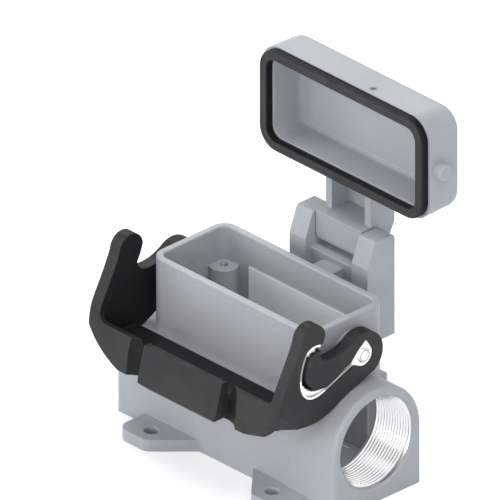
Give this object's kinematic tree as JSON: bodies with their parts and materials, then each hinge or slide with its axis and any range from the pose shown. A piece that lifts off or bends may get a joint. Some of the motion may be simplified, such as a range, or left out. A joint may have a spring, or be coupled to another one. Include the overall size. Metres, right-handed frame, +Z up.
{
  "type": "connector housing",
  "caption": "Surface-mount connector housing, open at the top, with a side cable entry, a hinged sealing cover and a locking lever.",
  "frame": {"origin": "centre of the four foot holes on the mounting plane", "axes": "+X along the housing toward the cable entry, +Y toward the cover's hinge tower, +Z up out of the mounting plane"},
  "size_m": [0.122, 0.1079, 0.1442],
  "materials": {
    "casting": "die-cast, light grey coat",
    "seal": "moulded",
    "steel": "turned",
    "lever_plastic": "moulded black",
    "spring_steel": "stainless strip"
  },
  "bodies": {
    "base": {"housing": "casting", "hinge_pin": "steel", "lever_stud_right": "steel", "lever_stud_left": "steel"},
    "lid": {"cover": "casting", "cover_seal": "seal"},
    "bail": {"lever": "lever_plastic", "lever_leaf_right": "spring_steel", "lever_leaf_left": "spring_steel"}
  },
  "joints": [
    {"name": "lever_pivot", "type": "hinge", "parent": "base", "child": "bail", "pos_m": [0, 0, 0.061], "axis": [-1, 0, 0], "range_deg": [0, 64]},
    {"name": "cover_hinge", "type": "hinge", "parent": "base", "child": "lid", "pos_m": [0, 0.043, 0.0789], "axis": [1, 0, 0], "range_deg": [0, 90]}
  ]
}
